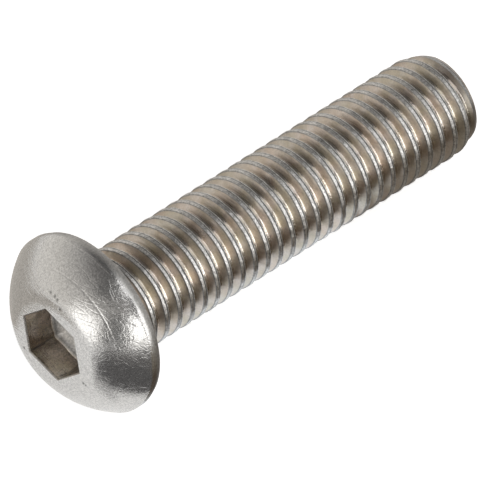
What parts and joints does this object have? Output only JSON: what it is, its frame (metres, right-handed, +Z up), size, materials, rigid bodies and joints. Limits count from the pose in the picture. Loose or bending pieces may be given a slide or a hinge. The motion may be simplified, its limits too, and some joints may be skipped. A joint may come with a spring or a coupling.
{
  "type": "button head screw",
  "caption": "Low domed screw with a hexagon socket and a full-length right-hand metric thread, for clamping parts under a smooth head.",
  "frame": {"origin": "middle of the bearing face, the flat underside of the head", "axes": "+X runs along the screw towards its point, which dips below +X by 5.24 degrees as the screw lies on its rim and thread; +Y is level, across the screw; +Z is up"},
  "size_m": [0.0395, 0.014, 0.0139],
  "materials": {
    "steel": "satin stainless steel, cold-formed and tumbled, with brown tints in the thread and the socket"
  },
  "bodies": {
    "root": {"screw": "steel"}
  },
  "joints": []
}
